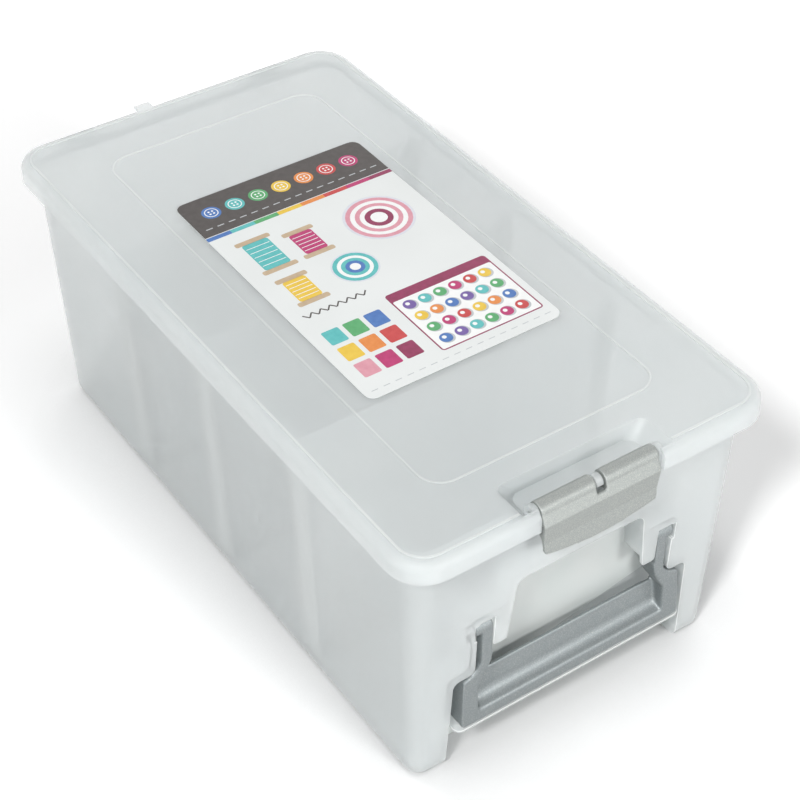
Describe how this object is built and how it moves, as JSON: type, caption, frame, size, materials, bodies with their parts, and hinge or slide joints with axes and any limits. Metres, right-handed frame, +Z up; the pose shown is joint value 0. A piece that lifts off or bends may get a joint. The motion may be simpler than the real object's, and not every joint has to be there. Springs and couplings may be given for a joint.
{
  "type": "craft storage case",
  "caption": "Clear craft storage case with hinged lid, grey front latch, grey fold-out handle, loose inner dividers and a printed sheet on the lid.",
  "frame": {"origin": "middle of the flat underside of the tub", "axes": "+X to the right side seen from the front, -Y to the latch and handle end, +Z up"},
  "size_m": [0.205, 0.3866, 0.16],
  "materials": {
    "clear_plastic": "glossy moulded clear plastic",
    "grey_plastic": "satin moulded plastic",
    "label_paper": "coated printed sheet"
  },
  "bodies": {
    "tub": {"tub": "clear_plastic", "divider_front": "clear_plastic", "divider_middle": "clear_plastic", "divider_rear": "clear_plastic"},
    "lid": {"lid": "clear_plastic", "lid_label": "label_paper"},
    "latch": {"latch": "grey_plastic"},
    "handle": {"handle": "grey_plastic"}
  },
  "joints": [
    {"name": "lid_hinge", "type": "hinge", "parent": "tub", "child": "lid", "pos_m": [0, 0.1915, 0.151], "axis": [-1, 0, 0], "range_deg": [0, 105]},
    {"name": "latch_hinge", "type": "hinge", "parent": "lid", "child": "latch", "pos_m": [0, -0.1833, 0.1554], "axis": [-1, 0, 0], "range_deg": [0, 95]},
    {"name": "handle_pivot", "type": "hinge", "parent": "tub", "child": "handle", "pos_m": [0, -0.17325, 0.087], "axis": [-1, 0, 0], "range_deg": [0, 90]}
  ]
}
